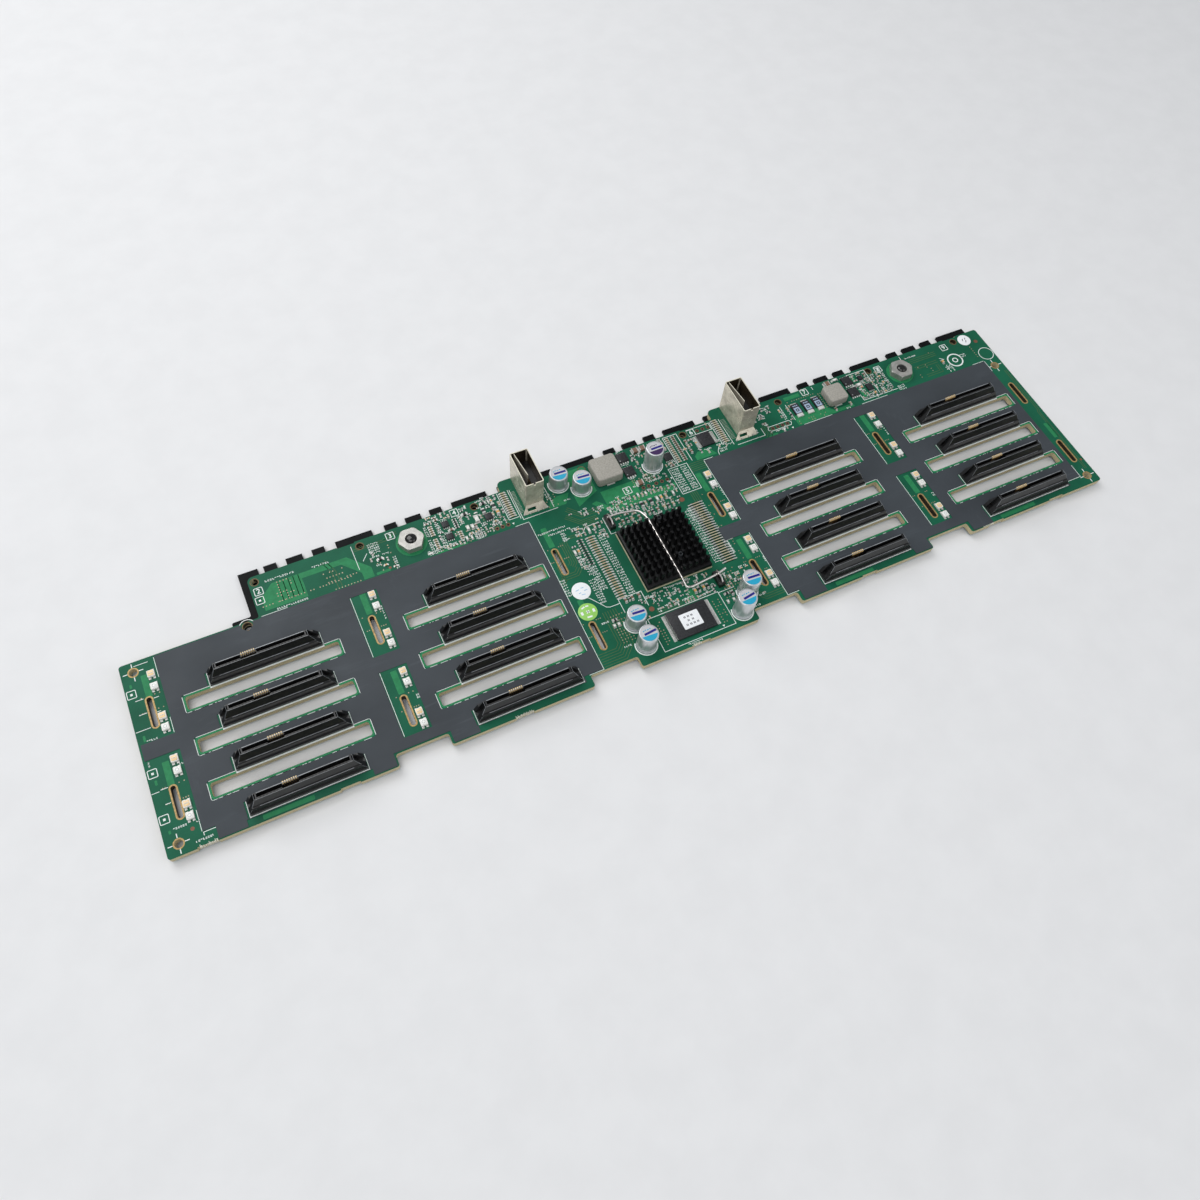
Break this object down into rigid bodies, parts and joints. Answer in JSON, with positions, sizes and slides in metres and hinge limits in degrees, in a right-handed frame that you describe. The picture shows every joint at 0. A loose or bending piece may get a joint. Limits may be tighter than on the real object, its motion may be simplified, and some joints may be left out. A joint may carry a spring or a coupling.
{
  "type": "drive backplane board",
  "caption": "Long printed board with rows of vertical drive receptacles, airflow slots, heat-sinked processor, upright cable cages and a toothed stiffener along the far edge.",
  "frame": {"origin": "centre of the footprint, at the underside of the stiffener", "axes": "+X along the board's length with the stepped end at -X, +Y towards the stiffener's teeth, +Z out of the component side"},
  "size_m": [0.4244, 0.1058, 0.0211],
  "materials": {
    "board_green": "satin solder mask",
    "stiffener_black": "satin",
    "moulding_black": "matte",
    "contact_gold": "polished",
    "package_tan": "matte",
    "sink_black": "black anodised",
    "wire_bright": "polished",
    "cage_tinned": "bright tin plate",
    "can_silver": "satin",
    "coil_grey": "matte",
    "chip_black": "matte",
    "ceramic_brown": "satin",
    "chip_parts": "satin",
    "light_amber": "gloss",
    "light_white": "gloss",
    "nut_plated": "plated",
    "pin_dark": "polished",
    "label_white": "matte",
    "label_green": "matte",
    "film_grey": "matte"
  },
  "bodies": {
    "root": {"circuit_board": "board_green", "stiffener": "stiffener_black", "drive_receptacle_1_1": "moulding_black", "drive_receptacle_1_2": "moulding_black", "drive_receptacle_1_3": "moulding_black", "drive_receptacle_1_4": "moulding_black", "receptacle_contacts_1": "contact_gold", "drive_receptacle_2_1": "moulding_black", "drive_receptacle_2_2": "moulding_black", "drive_receptacle_2_3": "moulding_black", "drive_receptacle_2_4": "moulding_black", "receptacle_contacts_2": "contact_gold", "drive_receptacle_3_1": "moulding_black", "drive_receptacle_3_2": "moulding_black", "drive_receptacle_3_3": "moulding_black", "drive_receptacle_3_4": "moulding_black", "receptacle_contacts_3": "contact_gold", "drive_receptacle_4_1": "moulding_black", "drive_receptacle_4_2": "moulding_black", "drive_receptacle_4_3": "moulding_black", "drive_receptacle_4_4": "moulding_black", "receptacle_contacts_4": "contact_gold", "processor_package": "package_tan", "heat_sink": "sink_black", "heat_sink_clip": "wire_bright", "clip_anchor_left": "moulding_black", "clip_anchor_right": "moulding_black", "clip_hooks": "wire_bright", "cable_cage_left": "cage_tinned", "cable_cage_right": "cage_tinned", "cable_core_left": "moulding_black", "cable_core_right": "moulding_black", "cable_contacts": "contact_gold", "capacitor_1": "can_silver", "capacitor_2": "can_silver", "capacitor_3": "can_silver", "capacitor_4": "can_silver", "capacitor_5": "can_silver", "capacitor_6": "can_silver", "capacitor_7": "can_silver", "power_coil_left": "coil_grey", "power_coil_right": "coil_grey", "power_transistors": "chip_black", "sense_resistors": "chip_black", "small_chips": "chip_black", "memory_chip": "chip_black", "controller_chip": "chip_black", "memory_label": "label_white", "ceramic_capacitors": "ceramic_brown", "chip_resistors": "chip_parts", "chip_capacitors": "chip_parts", "amber_lights": "light_amber", "white_lights": "light_white", "hex_nuts": "nut_plated", "domed_pins": "pin_dark", "white_labels": "label_white", "green_label": "label_green", "cover_film_left": "film_grey", "cover_film_right": "film_grey"}
  },
  "joints": []
}
